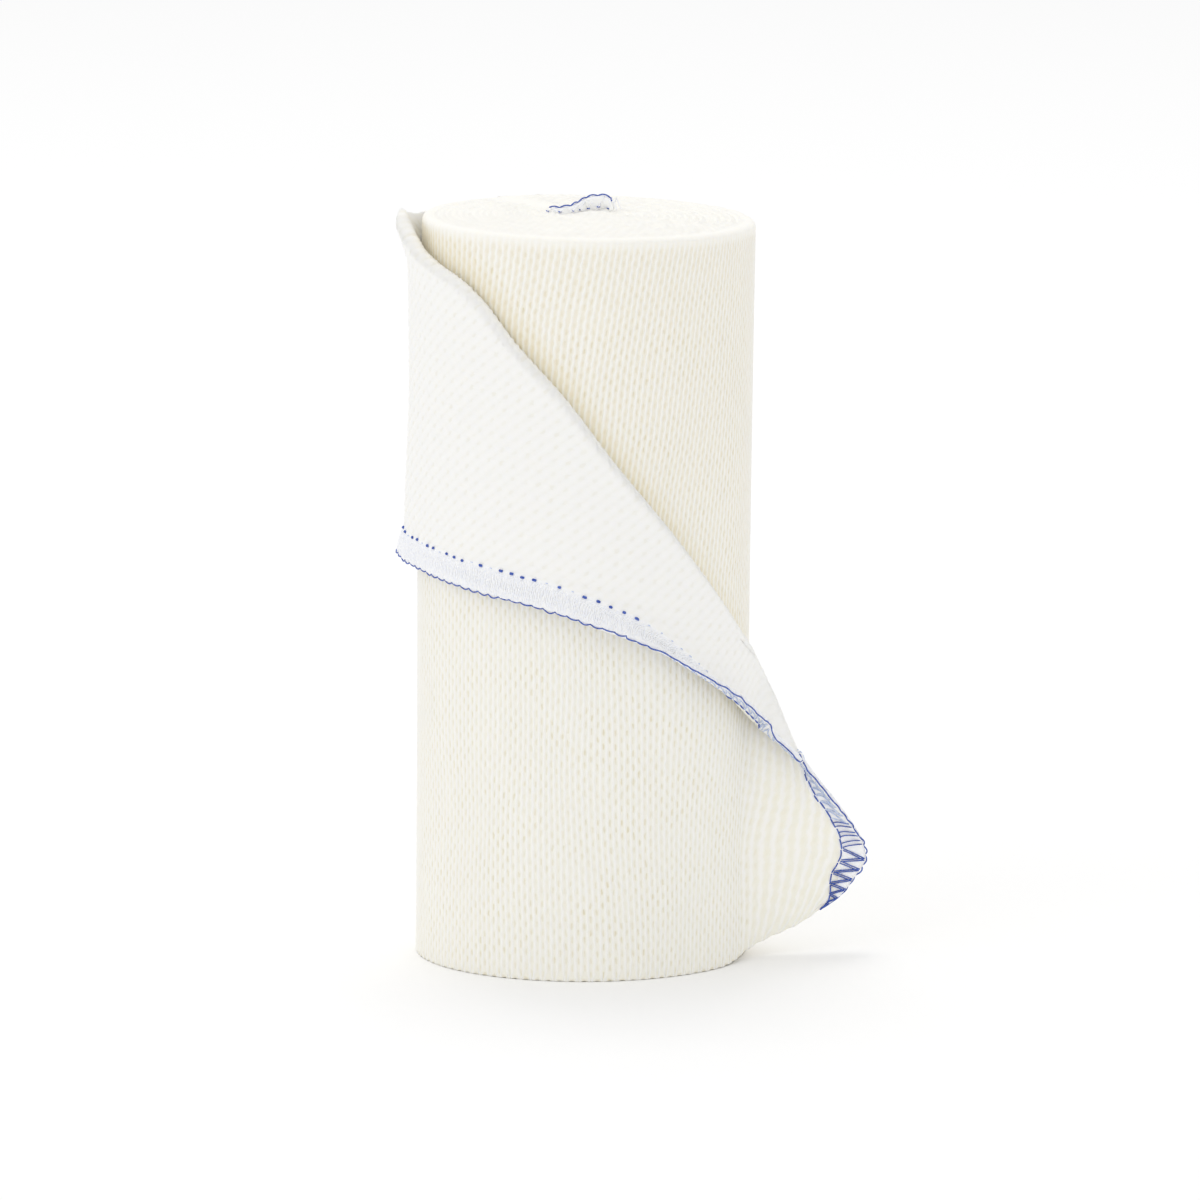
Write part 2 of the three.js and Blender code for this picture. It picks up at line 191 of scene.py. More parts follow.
FLARE = table(
    "bearing out",
    (122, 0), (130, 0.5), (140, 1.0), (152, 1.7), (166, 2.2), (181, 2.8), (192, 2.2), (204, 1.2),
    (220, 0.3), (235, 0), (390, 0),
)
CREST = table(
    "bearing radius",
    (FOLD_START, 1.2), (205, 1.15), (240, 1.4), (300, 1.6), (345, 1.3), (FOLD_END, 0.7),
)
SELVEDGE = table(
    "down off",
    (0.0, 1.0), (0.5, 1.1), (0.65, 1.6), (0.8, 2.2), (0.92, 2.6), (1.0, 3.9),
)
# The inner end of the strip, standing proud of the roll's head as a flat S.
INNER_END = (
    {"x": -7.0, "y": 5.5, "rise": 0.9},
    {"x": -5.2, "y": 4.2, "rise": 1.0},
    {"x": -3.0, "y": 5.0, "rise": 1.2},
    {"x": -1.0, "y": 7.5, "rise": 1.8},
    {"x": 1.0, "y": 9.5, "rise": 2.5},
    {"x": 3.4, "y": 10.0, "rise": 2.7},
    {"x": 5.4, "y": 9.0, "rise": 2.2},
    {"x": 5.5, "y": 7.6, "rise": 1.6},
)


def lerp(a, b, t):
    return a + (b - a) * t


def ease(low, high, value):
    """0 at low, 1 at high, and smooth between them."""
    t = min(max((value - low) / (high - low), 0), 1)
    return t * t * (3 - 2 * t)


def direction(degrees):
    return Vector((math.cos(math.radians(degrees)), math.sin(math.radians(degrees))))


def roll_radius(bearing, height):
    """A parabola through the roll's foot, waist and head."""
    t = height / CLOTH_WIDTH
    foot, waist, head = (ROLL[name](bearing) for name in ("foot", "waist", "head"))
    return foot * (1 - t) * (1 - 2 * t) + waist * 4 * t * (1 - t) + head * t * (2 * t - 1)


def head_height(bearing):
    return CLOTH_WIDTH + HEAD_SLOPE * ROLL["head"](bearing) * math.cos(math.radians(bearing))


def on_path(bearing, height, out):
    """A point of the loose end: bearing along the cloth, height, and distance out from its layer."""
    flare_top = FOLD["height"](min(bearing, FOLD_END)) if bearing >= FOLD_START else CLOTH_WIDTH
    below = min(max((flare_top - height) / FLARE_DEPTH, 0), 1)
    on_roll = min(bearing, LEAVE)
    layer = roll_radius(on_roll, height) + LAYER_GAP + CLOTH_THICKNESS / 2
    layer += FLARE["out"](bearing) * (1 - below)
    away = direction(on_roll)
    if bearing <= LEAVE:
        point = away * (layer + out)
        return Vector((point.x, point.y, height))
    length = math.radians(bearing - LEAVE) * PATH_RADIUS
    bend = min(length, BEND_RADIUS * BEND_TURN)
    outward = direction(on_roll - math.degrees(bend / BEND_RADIUS))
    straight = Vector((-outward.y, outward.x))
    point = away * (layer + BEND_RADIUS) - outward * BEND_RADIUS
    point += straight * (length - bend) + outward * out
    return Vector((point.x, point.y, height))


def curled(distance, degrees):
    """The hem's curl: the distance left from the cut end along the surface, and how far it is out."""
    turn = math.radians(max(degrees, 1))
    radius = HEM_WIDTH / turn
    reach = radius * math.sin(turn)
    if distance >= HEM_WIDTH:
        eased = min((distance - HEM_WIDTH) / CURL_EASE, 1)
        return distance - (HEM_WIDTH - reach) * (1 - eased), 0
    along = (HEM_WIDTH - distance) / HEM_WIDTH * turn
    return reach - radius * math.sin(along), radius * (1 - math.cos(along))


def crest_radius(bearing, place):
    """The crest of the fold, which opens out of nothing where the fold begins."""
    return CREST["radius"](bearing) * ease(-0.03, 0.05, place)


def wall_point(place, share):
    """A point between the foot and the crest of the fold."""
    left, out = curled((1 - place) * CORNER_LENGTH, CUT_END["curl"](share))
    across = 1 - left / CORNER_LENGTH
    crest = lerp(FOLD_START, FOLD_END, across)
    free = max((crest - LEAVE) / (FOLD_END - LEAVE), 0)
    bearing = crest + free * (CUT_END["bearing"](share) - FOLD_END)
    foot = FOOT_EDGE["height"](bearing)
    head = FOLD["height"](crest) - crest_radius(crest, across) - CREST_COVER * ease(0, 0.05, across)
    return on_path(bearing, lerp(foot, head, share), out)


def corner_point(place, share):
    """A point of the folded corner, between the crest and the top selvedge."""
    hem_bearing = lerp(FOLD_END, CORNER_BEARING, share)
    left, out = curled((1 - place) * CORNER_LENGTH, HEM["curl"](hem_bearing))
    across = 1 - left / CORNER_LENGTH
    crest = lerp(FOLD_START, FOLD_END, across)
    radius = crest_radius(crest, across)
    cover = radius + CREST_COVER * ease(0, 0.05, across)
    bearing = lerp(crest, lerp(FOLD_START, CORNER_BEARING, across), share)
    sag = HEM["height"](hem_bearing) - lerp(FOLD_END_HEIGHT, CORNER_HEIGHT, share)
    head = FOLD["height"](crest) - cover
    selvedge = lerp(FOLD_HEAD_HEIGHT - cover, CORNER_HEIGHT, across)
    height = lerp(head, selvedge, share) + sag * across * across
    from_crest = math.radians(crest - bearing) * PATH_RADIUS
    from_selvedge = math.radians(bearing - CORNER_BEARING) * PATH_RADIUS
    near_selvedge = max(1 - from_selvedge / SELVEDGE_REACH, 0) ** 2
    settled = lerp(HEM["off"](bearing), SELVEDGE["off"](across), near_selvedge)
    off = settled + (2 * radius - settled) * math.exp(-from_crest / CREST_EASE)
    return on_path(bearing, height, off + out)


def row_lengths(place):
    """How much of a row lies on the wall, round the crest and on the folded corner."""
    foot, top = wall_point(place, 0), wall_point(place, 1)
    start, end = corner_point(place, 0), corner_point(place, 1)
    crest = lerp(FOLD_START, FOLD_END, place)
    corner = math.radians(crest - lerp(FOLD_START, CORNER_BEARING, place)) * PATH_RADIUS
    arm = (start - top).length / 2
    return top.z - foot.z, math.pi * arm, math.hypot(corner, start.z - end.z)


def folded_point(place, across, lengths):
    """A point of a folded row, and 0 on the wall to 1 on the folded corner."""
    wall, crest, corner = lengths
    along = across * (wall + crest + corner)
    if along <= wall:
        return wall_point(place, along / wall), 0.0
    if along >= wall + crest:
        return corner_point(place, min((along - wall - crest) / max(corner, 1e-6), 1)), 1.0
    share = (along - wall) / crest
    low, high = wall_point(place, 1), corner_point(place, 0)
    middle, arm = (low + high) / 2, (low - high) / 2
    turn = share * math.pi
    lift = Vector((0, 0, arm.length * math.sin(turn)))
    return middle + arm * math.cos(turn) + lift, share


def closed_up(rib, stitch):
    """A rib's place in the pattern: near the foot selvedge two ribs close up into a loop."""
    closing = LOOP_CLOSING / math.pi * (1 - ease(0, LOOP_STITCHES, stitch))
    return rib + closing * math.sin(math.pi * (rib - 0.5))


def rib_height(rib, stitch):
    """The outer face's relief: 1 on a rib, less in a valley and 0 in its holes.

    The rib's yarn swings to and fro once a stitch, so every valley opens at its own half of a stitch.
    """
    rib = closed_up(rib, stitch)
    number = math.floor(rib)
    between = rib - number
    swing = math.cos(math.pi * number) * math.cos(2 * math.pi * stitch)
    aside = RIB_WIGGLE * swing
    near = min(abs(between - aside), abs(1 - between - aside))
    hole = ease(HOLE_RIM, HOLE_MIDDLE, near) * ease(*HOLE_OPENS, -swing)
    return VALLEY_HEIGHT * (1 - hole) + (1 - VALLEY_HEIGHT) * (1 - ease(RIB_CROWN, RIB_FOOT, near))


def bearing_of(point):
    """The bearing of a point of the loose end, which starts at the back and ends past the right."""
    bearing = math.degrees(math.atan2(point.y, point.x))
    return bearing if bearing > 100 else bearing + 360


def reverse_place(point):
    """The row and the stitch of the reverse's pattern at a point of the loose end."""
    unrolled = Vector((PATH_RADIUS * math.radians(bearing_of(point)), point.z))
    return REVERSE_ROWS.dot(unrolled), REVERSE_STITCHES.dot(unrolled)


def stroke_height(row, stitch):
    """The reverse's relief: slanting strokes in rows, each row half a stitch on from the last."""
    main, cross = STROKES
    slanting = math.cos(2 * math.pi * (row / 2 + stitch))
    crossing = math.cos(2 * math.pi * (row / 2 - stitch))
    return 0.5 + main * slanting + cross * (crossing + math.cos(2 * math.pi * stitch))


def drift(along, height):
    """How far the ribs stray sideways, in ribs, as knit that was wound by hand does."""
    slow = noise.noise(Vector((along * 0.045, height * 0.022, 3.1)))
    quick = noise.noise(Vector((along * 0.11, height * 0.06, 8.7)))
    return 1.6 * slow + 0.4 * quick


def lean(bearing, height):
    """How far the roll's ribs lean over its front, in ribs."""
    window = ease(190, 265, bearing) * (1 - ease(325, 440, bearing))
    return window * LEAN * max(height - LEAN_FROM, 0) / RIB_PITCH


def above_fold(point):
    """How far a point of the roll stands clear of the fold's crest, across the crest."""
    bearing = math.degrees(math.atan2(point.y, point.x)) % 360
    if bearing < FOLD_START:
        return 100.0
    return (point.z - FOLD["height"](bearing)) * math.cos(math.radians(45))


def linear(hex_colour):
    """An sRGB hex colour as linear red, green, blue and 1."""
    parts = [int(hex_colour[i : i + 2], 16) / 255 for i in (1, 3, 5)]
    return (*(c / 12.92 if c <= 0.04045 else ((c + 0.055) / 1.055) ** 2.4 for c in parts), 1.0)


def add(tree, kind, inputs=(), **settings):
    """Adds a node with its settings. Inputs are values or output sockets, by name or number."""
    node = tree.nodes.new(kind)
    for name, value in settings.items():
        setattr(node, name, value)
    pairs = inputs.items() if isinstance(inputs, dict) else enumerate(inputs)
    for key, value in pairs:
        if isinstance(value, bpy.types.NodeSocket):
            tree.links.new(value, node.inputs[key])
        elif value is not None:
            node.inputs[key].default_value = value
    return node


def size_setting(name, description, millimetres):
    """A length that a user would change."""
    return bpy.props.FloatProperty(
        name=name, description=description, default=millimetres * MM, unit="LENGTH", precision=5,
    )


def colour_setting(name, description, hex_colour):
    """A colour that a user would change."""
    return bpy.props.FloatVectorProperty(
        name=name, description=description, default=linear(hex_colour), subtype="COLOR", size=4,
    )


class BandageSizes(bpy.types.PropertyGroup):
    """Sizes of the knit and of the sewing."""

    thickness: size_setting("Cloth thickness", "Thickness of the strip where it lies loose", 0.85)
    relief: size_setting("Rib height", "How far a rib stands above the valley beside it", 0.2)
    reverse_relief: size_setting("Stroke height", "How far a stroke of the reverse stands up", 0.22)
    overlock_stitch: size_setting("Overlock stitch", "Length of one stitch along the cut end", 2.48)
    thread: size_setting("Sewing thread", "Diameter of the sewing thread", 0.3)


class BandageColours(bpy.types.PropertyGroup):
    """Colours of the knit, the threads and the floor."""

    rib: colour_setting("Rib", "Bleached cotton on the ribs of the loose cloth", "#FEFCF6")
    # Painted shade: the valley, hole and reverse pit colours below are darker than the ribs, as shade
    # in the knit's hollows.
    valley: colour_setting("Valley", "Unbleached yarn between those ribs", "#F9F6EA")
    # The roll's copy of the knit has darker valleys: partly painted shade under the fold, partly the
    # wound cloth's own tone.
    wound_rib: colour_setting("Rib of the roll", "Ribs of the wound cloth", "#FEFCF5")
    wound_valley: colour_setting("Valley of the roll", "Valleys of the wound cloth", "#F6F1E3")
    hole: colour_setting("Hole", "Shaded cotton seen through the knit", "#E0D5B3")
    # Painted warm shade: colour that stands in for light coming through the cloth beside the fold and
    # in the pocket.
    warm_shade: colour_setting("Warm shade", "Cloth beside the fold, lit through the cloth", "#F3E8C9")
    reverse: colour_setting("Reverse", "Brushed reverse of the knit", "#FDFCF9")
    reverse_ground: colour_setting("Reverse ground", "Shade between the reverse's strokes", "#FAF9F4")
    reverse_pit: colour_setting("Reverse pit", "Deepest places of the reverse", "#F1EEE4")
    white_thread: colour_setting("White thread", "White polyester of the overlock", "#FFFFFF")
    # The ply colours are painted: the white thread's darker ply is painted shade, the blue and pale
    # threads' lighter plies are painted highlights.
    white_ply: colour_setting("White ply", "The shaded ply of the white thread", "#F6F8FE")
    blue_thread: colour_setting("Blue thread", "Blue polyester of the overlock", "#1E3F9C")
    blue_ply: colour_setting("Blue ply", "The lit ply of the blue thread", "#4C6BC0")
    pale_thread: colour_setting("Pale thread", "Blue thread that shows through white ones", "#B4C4E8")
    pale_ply: colour_setting("Pale ply", "The lit ply of the pale thread", "#DDE5F6")
    floor: colour_setting("Floor", "White studio floor", "#FFFFFF")


def work_out(tree, made, steps):
    """Adds sums to the named sockets in made. A step is a name, an operation and its inputs."""
    for name, operation, *inputs in steps:
        values = [made.get(value, value) for value in inputs]
        if operation in ("LINEAR", "SMOOTHSTEP"):
            node = add(tree, "ShaderNodeMapRange", values, interpolation_type=operation)
        else:
            node = add(tree, "ShaderNodeMath", values, operation=operation)
        made[name] = node.outputs[0]


def rib_pattern(tree, rib, stitch):
    """Nodes for the relief of the outer face, as rib_height works it out, and for its holes."""
    made = {"rib": rib, "stitch": stitch}
    work_out(tree, made, (
        ("closing", "SMOOTHSTEP", "stitch", 0.0, LOOP_STITCHES, LOOP_CLOSING / math.pi, 0.0),
        ("centred", "SUBTRACT", "rib", 0.5),
        ("paired", "MULTIPLY", "centred", math.pi),
        ("pull", "SINE", "paired"),
        ("pulled", "MULTIPLY", "pull", "closing"),
        ("closed", "ADD", "rib", "pulled"),
        ("number", "FLOOR", "closed"),
        ("between", "SUBTRACT", "closed", "number"),
        ("half_turns", "MULTIPLY", "number", math.pi),
        ("side", "COSINE", "half_turns"),
        ("turns", "MULTIPLY", "stitch", 2 * math.pi),
        ("sway", "COSINE", "turns"),
        ("swing", "MULTIPLY", "side", "sway"),
        ("aside", "MULTIPLY", "swing", RIB_WIGGLE),
        ("before", "SUBTRACT", "between", "aside"),
        ("rest", "SUBTRACT", 1.0, "between"),
        ("after", "SUBTRACT", "rest", "aside"),
        ("left", "ABSOLUTE", "before"),
        ("right", "ABSOLUTE", "after"),
        ("near", "MINIMUM", "left", "right"),
        ("crown", "SMOOTHSTEP", "near", RIB_CROWN, RIB_FOOT, 1.0, 0.0),
        ("deep", "SMOOTHSTEP", "near", HOLE_RIM, HOLE_MIDDLE, 0.0, 1.0),
        ("opened", "SMOOTHSTEP", "swing", -HOLE_OPENS[0], -HOLE_OPENS[1], 0.0, 1.0),
        ("hole", "MULTIPLY", "deep", "opened"),
    ))
    return made["crown"], made["hole"]


def stroke_pattern(tree, row, stitch):
    """Nodes for the relief of the reverse, as stroke_height works it out, and for its pits."""
    main, cross = STROKES
    made = {"row": row, "stitch": stitch, "total": 0.5}
    work_out(tree, made, (
        ("half", "MULTIPLY", "row", 0.5),
        ("slant", "ADD", "half", "stitch"),
        ("counter", "SUBTRACT", "half", "stitch"),
    ))
    for phase, strength in (("slant", main), ("counter", cross), ("stitch", cross)):
        work_out(tree, made, (
            ("turns", "MULTIPLY", phase, 2 * math.pi),
            ("wave", "COSINE", "turns"),
            ("part", "MULTIPLY", "wave", strength),
            ("total", "ADD", "total", "part"),
        ))
    work_out(tree, made, [("pit", "SMOOTHSTEP", "total", 0.35, 0.05, 0.0, 1.0)])
    return made["total"], made["pit"]


def new_material(name, values):
    """A material whose Principled shader has these values, with its tree and that shader."""
    material = bpy.data.materials.new(name)
    material.use_nodes = True
    tree = material.node_tree
    shader = tree.nodes["Principled BSDF"]
    for key, value in values.items():
        shader.inputs[key].default_value = value
    return material, tree, shader


def knit_material(name):
    """Matt bleached cotton with elastane: ribs or strokes worked out on the cloth's own UV map."""
    uv_map, pattern, shades, depth = KNITS[name]
    crown, valley, hole, shade, band = (tuple(getattr(colours(), key)) for key in shades.split())
    # Thin cotton lets some light through, which softens the shade in its folds.
    material, tree, shader = new_material(name, {
        "Roughness": 0.92,
        "Sheen Weight": 0.12,
        "Sheen Roughness": 0.6,
        "Specular IOR Level": 0.25,
        "Subsurface Weight": 0.2,
        "Subsurface Radius": (1.0, 0.93, 0.8),
        "Subsurface Scale": 1.2 * MM,
    })
    where = add(tree, "ShaderNodeUVMap", uv_map=uv_map).outputs[0]
    # Uneven yarn: the pattern strays by a twentieth of a rib, at half a rib's scale.
    stray = add(
        tree, "ShaderNodeTexNoise", {"Vector": where, "Scale": 1.7, "Detail": 2.0, "Roughness": 0.6},
        noise_dimensions="2D",
    )
    centred = add(
        tree, "ShaderNodeVectorMath", [stray.outputs["Color"], (0.5, 0.5, 0.5)],
        operation="SUBTRACT",
    )
    shift = add(
        tree, "ShaderNodeVectorMath", [centred.outputs[0], (0.35, 0.3, 0.0)], operation="MULTIPLY",
    )
    strayed = add(tree, "ShaderNodeVectorMath", [where, shift.outputs[0]], operation="ADD")
    axes = add(tree, "ShaderNodeSeparateXYZ", [strayed.outputs[0]])
    high, low = pattern(tree, axes.outputs[0], axes.outputs[1])
    cloth = add(tree, "ShaderNodeUVMap", uv_map="cloth")
    straight = add(tree, "ShaderNodeSeparateXYZ", [cloth.outputs[0]])
    edge = add(tree, "ShaderNodeAttribute", attribute_name="from_cut")
    warm = add(tree, "ShaderNodeAttribute", attribute_name="warm")
    place = add(tree, "ShaderNodeTexCoord")
    fibre = add(
        tree, "ShaderNodeTexNoise",
        {"Vector": place.outputs["Object"], "Scale": 1 / (1.1 * MM), "Detail": 4.0, "Roughness": 0.65},
    )
    mottle = add(
        tree, "ShaderNodeTexNoise",
        {"Vector": place.outputs["Object"], "Scale": 1 / (4.5 * MM), "Detail": 4.0, "Roughness": 0.6},
    )
    made = {
        "high": high, "low": low, "up": straight.outputs[1], "inset": edge.outputs["Fac"],
        "warm": warm.outputs["Fac"], "mottle": mottle.outputs[0],
    }
    work_out(tree, made, (
        # The pattern fades into the looped edge on the roll's head, and under the overlock.
        ("at_head", "SMOOTHSTEP", "up", STITCHES - KNIT_FADE_STITCHES, STITCHES, 1.0, 0.0),
        ("in_hem", "SMOOTHSTEP", "inset", HEM_WIDTH - 0.6, HEM_WIDTH + 0.3, 1.0, 0.0),
        ("clear", "SUBTRACT", 1.0, "in_hem"),
        ("shown", "MULTIPLY", "at_head", "clear"),
        ("relief", "MULTIPLY", "high", "shown"),
        # No two holes are painted in as deep a shade.
        ("uneven", "LINEAR", "mottle", 0.32, 0.68, 0.05, 0.65),
        # Where the painted light attribute is below 0, the painted shade of the holes is cleared, as if
        # lit.
        ("clear_holes", "LINEAR", "warm", -1.0, 0.0, 0.0, 1.0),
        ("open_holes", "MULTIPLY", "low", "clear_holes"),
        ("depths", "MULTIPLY", "open_holes", "uneven"),
        # Beside the fold and in the pocket the valleys are painted the warmest shade, for light that
        # comes through the cloth there.
        ("sunk", "LINEAR", "high", 0.0, 1.0, 1.0, 0.45),
        ("warmed", "MULTIPLY", "warm", "sunk"),
        ("glow", "LINEAR", "warmed", 0.0, 1.0, 0.0, 1.0),
    ))
    # The ribs are whiter than the valleys, whose darker tone, like the holes', is painted shade; by the
    # fold a painted warm shade goes over them.
    tone = valley
    for share, under, over in (
        ("high", None, crown), ("depths", None, hole), ("glow", None, shade),
        ("shown", crown, None), ("in_hem", None, band),
    ):
        pair = {0: made[share], 6: under or tone, 7: over or tone}
        tone = add(tree, "ShaderNodeMix", pair, data_type="RGBA").outputs[2]
    tree.links.new(tone, shader.inputs["Base Color"])
    knit_bump = add(tree, "ShaderNodeBump", {
        "Strength": 0.5, "Distance": getattr(sizes(), depth), "Height": made["relief"],
    })
    # Cotton fibre, which breaks the light up at about half a millimetre.
    fibre_bump = add(tree, "ShaderNodeBump", {
        "Strength": 0.3, "Distance": 0.12 * MM, "Height": fibre.outputs[0],
        "Normal": knit_bump.outputs[0],
    })
    tree.links.new(fibre_bump.outputs[0], shader.inputs["Normal"])
    return material


def thread_material(name):
    """Spun polyester sewing thread: slightly glossy, with a second ply colour mixed in by noise, a
    painted highlight on the blue threads and a painted shade on the white one.
    """
    material, tree, shader = new_material(name, {"Roughness": 0.6, "Sheen Weight": 0.15})
    place = add(tree, "ShaderNodeTexCoord")
    ply = add(
        tree, "ShaderNodeTexNoise",
        {"Vector": place.outputs["Object"], "Scale": 1 / (0.45 * MM), "Detail": 2.0},
    )
    steep = add(tree, "ShaderNodeMapRange", [ply.outputs[0], 0.35, 0.65, 0.0, 1.0])
    plies = [tuple(getattr(colours(), THREADS[name] + part)) for part in ("_thread", "_ply")]
    tone = add(
        tree, "ShaderNodeMix", {0: steep.outputs[0], 6: plies[0], 7: plies[1]}, data_type="RGBA",
    )
    tree.links.new(tone.outputs[2], shader.inputs["Base Color"])
    bump = add(
        tree, "ShaderNodeBump", {"Strength": 0.4, "Distance": 0.1 * MM, "Height": ply.outputs[0]},
    )
    tree.links.new(bump.outputs[0], shader.inputs["Normal"])
    return material


# Each knit's UV map, pattern, colours (crown, valley, hole, painted warm shade by the fold, hem) and
# relief.
KNITS = {
    "ribbed_cotton_of_the_roll": (
        "cloth", rib_pattern, "wound_rib wound_valley hole warm_shade white_thread", "relief",
    ),
    "ribbed_cotton_face": ("cloth", rib_pattern, "rib valley hole warm_shade white_thread", "relief"),
    "brushed_cotton_reverse": (
        "reverse", stroke_pattern, "reverse reverse_ground reverse_pit warm_shade white_thread",
        "reverse_relief",
    ),
}
# Each thread's colours, by the first word of their names.
THREADS = {
    "blue_polyester_thread": "blue",
    "pale_blue_polyester_thread": "pale",
    "white_polyester_thread": "white",
}


def material_named(name):
    """The material of that name, made the first time that it is asked for."""
    make = knit_material if name in KNITS else thread_material
    return bpy.data.materials.get(name) or make(name)


def colours():
    return bpy.context.scene.bandage_colours


def sizes():
    return bpy.context.scene.bandage_sizes


def grid(across, up, *numbers):
    """A bmesh grid with layers for named numbers, and its vertices' whole steps across and up."""
    bm = bmesh.new()
    for name in numbers:
        bm.verts.layers.float.new(name)
    bmesh.ops.create_grid(bm, x_segments=across, y_segments=up, size=0.5)
    steps = {v: (round((v.co.x + 0.5) * across), round((v.co.y + 0.5) * up)) for v in bm.verts}
    return bm, steps


def finish_piece(bm, name, slot, *finishes):
    """Turns a bmesh in millimetres into a smooth piece that rides on the roll's one body."""
    bmesh.ops.scale(bm, vec=(MM, MM, MM), verts=bm.verts)
    mesh = bpy.data.meshes.new(name)
    bm.to_mesh(mesh)
    bm.free()
    mesh.shade_smooth()
    return place_piece(bpy.data.objects.new(name, mesh), slot, *finishes)


def place_piece(piece, slot, *finishes):
    bpy.context.scene.collection.objects.link(piece)
    for name in finishes:
        piece.data.materials.append(material_named(name))
    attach(piece, "root")
    return piece


def threads(name, paths, diameter, shade):
    """One piece of round threads that follow paths in millimetres, in a shade of THREADS."""
    data = bpy.data.curves.new(name, "CURVE")
    data.dimensions = "3D"
    data.bevel_depth = diameter / 2
    data.bevel_resolution = 1
    data.use_fill_caps = True
    for path in paths:
        spline = data.splines.new("POLY")
        spline.points.add(len(path) - 1)
        for point, place in zip(spline.points, path):
            point.co = (*(place * MM), 1)
    shaped = bpy.data.objects.new(name + "_shape", data)
    bpy.context.scene.collection.objects.link(shaped)
    bpy.context.view_layer.update()
    mesh = bpy.data.meshes.new_from_object(shaped.evaluated_get(bpy.context.evaluated_depsgraph_get()))
    bpy.data.objects.remove(shaped)
    bpy.data.curves.remove(data)
    mesh.name = name
    mesh.materials.clear()
    mesh.shade_smooth()
    return place_piece(bpy.data.objects.new(name, mesh), "knit_loose", shade + "_polyester_thread")


def roll_profile():
    """Rows of the roll, from the middle of its foot up the wall to the middle of its head.

    A row is its layer, counted in from the outside, its stitch up the wall, or its share of the rim.
    """
    foot = [("foot", LAYERS - i / FOOT_ROWS_PER_LAYER) for i in range(LAYERS * FOOT_ROWS_PER_LAYER)]
    count = int((STITCHES - RIM_STITCHES) * ROLL_ROWS_PER_STITCH)
    wall = [("wall", i / ROLL_ROWS_PER_STITCH) for i in range(count + 1)]
    rim = [("rim", (i + 1) / HEAD_RIM_ROWS) for i in range(HEAD_RIM_ROWS)]
    rows = int((LAYERS - HEAD_RIM_LAYERS) * HEAD_ROWS_PER_LAYER)
    head = [("head", lerp(HEAD_RIM_LAYERS, LAYERS, (i + 1) / rows)) for i in range(rows)]
    return foot + wall + rim + head


def layer_ridge(layer, arc, turn):
    """How high the wound edge stands: a ridge a layer, scalloped by a loop for every two ribs."""
    ridge = 0.5 + 0.5 * math.cos(2 * math.pi * (layer - 0.35))
    loop = math.cos(math.pi * arc / RIB_PITCH + 2.4 * math.floor(layer + turn))
    rough = noise.noise(Vector((arc * 0.35, layer * 1.7, 5.0)))
    return ridge * (0.75 + 0.2 * loop) + 0.35 * rough


def roll_point(bearing, part, row):
    """A point of the roll on one of its rows."""
    top = head_height(bearing) - 0.2
    if part == "wall":
        height = (top - HEAD_RIM) * row / (STITCHES - RIM_STITCHES)
        radius = roll_radius(bearing, height) - 0.15 * (1 - ease(0, 1.2, row * STITCH))
        out = direction(bearing) * radius
        return Vector((out.x, out.y, height))
    outline = roll_radius(bearing, CLOTH_WIDTH - HEAD_RIM)
    if part == "rim":
        turn = math.radians(90 * row)
        out = direction(bearing) * (outline - HEAD_RIM * (1 - math.cos(turn)))
        uneven = 0.8 * noise.noise(Vector((bearing * 0.25, 0.5, 4.0))) * row * (1 - row)
        return Vector((out.x, out.y, top - HEAD_RIM * (1 - math.sin(turn)) + uneven))
    if part == "foot":
        radius = ROLL["foot"](bearing) * max(1 - row / LAYERS, 0)
    else:
        radius = (outline - HEAD_RIM) * (LAYERS - row) / (LAYERS - HEAD_RIM_LAYERS)
    inward = 1 - radius / outline
    out = direction(bearing) * radius
    out.y *= 1 - CORE_SQUASH * inward**3
    out += CORE * inward**1.5
    turn = (bearing - LOOSE_START) / 360
    arc = math.radians(bearing - LOOSE_START) * radius
    ridge = layer_ridge(row, arc, turn)
    # All of a row's points come down to one height at the middle, where they are merged.
    closing = ease(0, 2, LAYERS - row)
    past, left = bearing - LOOSE_START, LOOSE_START + 360 - bearing
    at_seam = ease(0, SEAM_EASE, past) * ease(0, SEAM_EASE, left)
    if part == "foot":
        return Vector((out.x, out.y, 0.5 * (1 - min(ridge, 1)) * closing))
    grown = ease(0, 1, row - HEAD_RIM_LAYERS) * closing * at_seam
    uneven = 0.3 * noise.noise(Vector((row * 0.8, bearing * 0.012, 1.0)))
    rise = grown * (0.5 * ridge + uneven - 0.25)
    return Vector((out.x, out.y, CLOTH_WIDTH + HEAD_SLOPE * out.x - 0.2 + rise))


